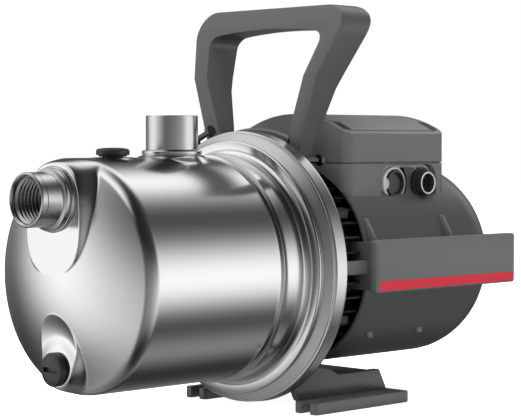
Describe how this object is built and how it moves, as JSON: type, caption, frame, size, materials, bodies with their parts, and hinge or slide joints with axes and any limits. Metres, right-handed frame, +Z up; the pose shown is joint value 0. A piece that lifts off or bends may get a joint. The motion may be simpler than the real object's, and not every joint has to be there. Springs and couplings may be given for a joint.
{
  "type": "shallow well jet pump",
  "caption": "Self-priming jet pump: domed stainless pump sleeve with threaded ports, V-band clamp, fan-cooled motor under a plastic cover, terminal box, foot bracket and carrying handle.",
  "frame": {"origin": "middle of the pump's footprint, on the surface that its feet stand on", "axes": "+X along the shaft from the suction port to the fan, +Y away from the cable glands, +Z up"},
  "size_m": [0.432, 0.2056, 0.3036],
  "materials": {
    "stainless": "bright satin stainless steel",
    "cast": "dark painted casting",
    "grey_plastic": "mid grey moulded plastic, fine texture",
    "dark_plastic": "dark grey moulded plastic, fine texture",
    "black_plastic": "black moulded plastic",
    "pale_plastic": "pale grey plastic",
    "ivory_plastic": "ivory plastic",
    "red_plastic": "red strip",
    "rubber": "black elastomer",
    "steel": "ground and laminated steel",
    "zinc": "zinc-plated fastener",
    "aluminium": "as cast or extruded",
    "copper": "enamelled copper winding",
    "ceramic": "seal seat ceramic"
  },
  "bodies": {
    "pump_frame": {"pump_sleeve": "stainless", "suction_port": "stainless", "discharge_port": "stainless", "filler_socket": "stainless", "drain_socket": "stainless", "ejector_body": "dark_plastic", "ejector_nozzle": "dark_plastic", "venturi_tube": "dark_plastic", "diffuser": "dark_plastic", "neck_ring": "rubber", "back_plate": "stainless", "sleeve_gasket": "rubber", "shaft_seal_seat": "ceramic", "motor_stool": "cast", "clamp_band": "stainless", "clamp_bolt": "zinc", "clamp_nut": "zinc", "front_bearing": "steel", "rear_bearing": "steel", "stator_core": "steel", "front_winding": "copper", "rear_winding": "copper", "motor_frame": "aluminium", "rear_shield": "cast", "tie_bolt_1": "zinc", "tie_bolt_2": "zinc", "tie_bolt_3": "zinc", "tie_bolt_4": "zinc", "motor_cover": "dark_plastic", "terminal_box": "grey_plastic", "terminal_lid": "grey_plastic", "lid_gasket": "rubber", "lid_screw_1": "zinc", "lid_screw_2": "zinc", "lid_screw_3": "zinc", "lid_screw_4": "zinc", "capacitor": "aluminium", "terminal_block": "ivory_plastic", "gland_plate": "pale_plastic", "blind_gland": "black_plastic", "cable_gland_body": "black_plastic", "cable_gland_nut": "black_plastic", "side_plate": "grey_plastic", "side_stripe": "red_plastic", "base_bracket": "grey_plastic", "base_screw_1": "zinc", "base_screw_2": "zinc", "handle": "grey_plastic", "handle_bolt_1": "zinc", "handle_bolt_2": "zinc"},
    "rotor": {"shaft": "steel", "impeller": "stainless", "impeller_nut": "stainless", "shaft_seal_head": "black_plastic", "rotor_core": "steel", "cooling_fan": "black_plastic"},
    "filler_gasket": {"filler_seal": "rubber"},
    "filler_cap": {"filler_plug": "black_plastic"},
    "drain_gasket": {"drain_seal": "rubber"},
    "drain_cap": {"drain_plug": "black_plastic"}
  },
  "joints": [
    {"name": "rotor_spin", "type": "hinge", "parent": "pump_frame", "child": "rotor", "pos_m": [0, 0, 0.1071], "axis": [1, 0, 0], "continuous": true},
    {"name": "filler_lift", "type": "slide", "parent": "pump_frame", "child": "filler_gasket", "axis": [0, 0, 1], "range_m": [0, 0.0095]},
    {"name": "filler_turn", "type": "hinge", "parent": "filler_gasket", "child": "filler_cap", "pos_m": [-0.1384, 0, 0.19], "axis": [0, 0, 1], "range_deg": [0, 2520]},
    {"name": "drain_lift", "type": "slide", "parent": "pump_frame", "child": "drain_gasket", "axis": [-1, 0, 0], "range_m": [0, 0.0095]},
    {"name": "drain_turn", "type": "hinge", "parent": "drain_gasket", "child": "drain_cap", "pos_m": [-0.19, 0, 0.0441], "axis": [-1, 0, 0], "range_deg": [0, 2520]}
  ],
  "couplings": [
    {"joint": "filler_lift", "follows": "filler_turn", "m_per_rad": 0.00021279},
    {"joint": "drain_lift", "follows": "drain_turn", "m_per_rad": 0.00021279}
  ]
}
